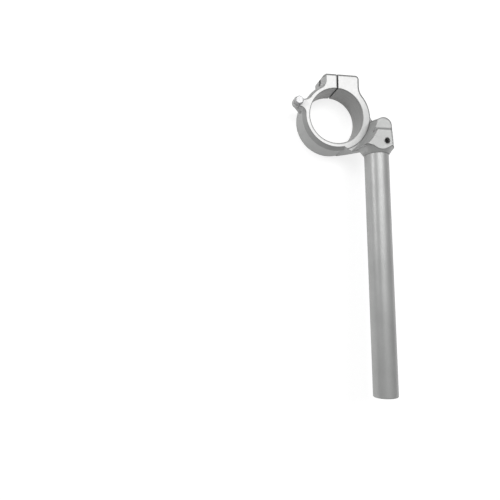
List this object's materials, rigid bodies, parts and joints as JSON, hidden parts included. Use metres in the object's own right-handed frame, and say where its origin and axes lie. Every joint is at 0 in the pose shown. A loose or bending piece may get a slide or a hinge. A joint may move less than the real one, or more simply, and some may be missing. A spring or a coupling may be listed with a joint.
{
  "type": "clip on handlebar",
  "caption": "Right-hand clip-on handlebar: a split fork clamp with a raised socket that carries a straight round handle tube.",
  "frame": {"origin": "centre of the fork clamp's bore, at half the clamp's height", "axes": "+Z along the fork tube's bore towards the face with the locating pin, the handle tube points to -Y and rises 2 degrees towards +Z, the socket lies on the +X side"},
  "size_m": [0.0903, 0.3008, 0.0605],
  "materials": {
    "clamp_bracket": "satin silver paint over a forging",
    "handle_tube": "satin silver paint",
    "locating_pin": "bright turned"
  },
  "bodies": {
    "root": {"clamp_bracket": "clamp_bracket", "handle_tube": "handle_tube", "locating_pin": "locating_pin"}
  },
  "joints": []
}
